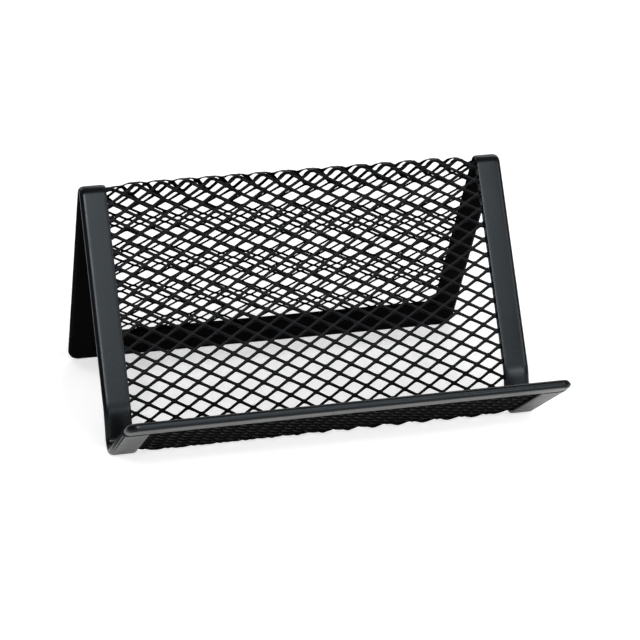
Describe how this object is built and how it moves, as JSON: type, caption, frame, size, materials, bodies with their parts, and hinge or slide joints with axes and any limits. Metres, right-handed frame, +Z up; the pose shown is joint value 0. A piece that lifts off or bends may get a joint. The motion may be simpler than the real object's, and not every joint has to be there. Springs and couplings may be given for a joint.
{
  "type": "business card stand",
  "caption": "Desk stand for business cards, folded from black expanded steel mesh with its edges bound in folded strip: a front trough, a sloping back and a rear leg.",
  "frame": {"origin": "on the desk, under the middle of the width and of the depth", "axes": "+X to the right across the width seen from the front, +Y from the front lip to the rear leg, +Z up from the desk"},
  "size_m": [0.1, 0.0954, 0.0547],
  "materials": {
    "mesh_coat": "black satin powder coat on expanded steel mesh",
    "strip_coat": "charcoal black satin powder coat on folded steel strip"
  },
  "bodies": {
    "root": {"mesh_sheet": "mesh_coat", "left_side_band": "strip_coat", "right_side_band": "strip_coat", "lip_rail": "strip_coat", "foot_rail": "strip_coat"}
  },
  "joints": []
}
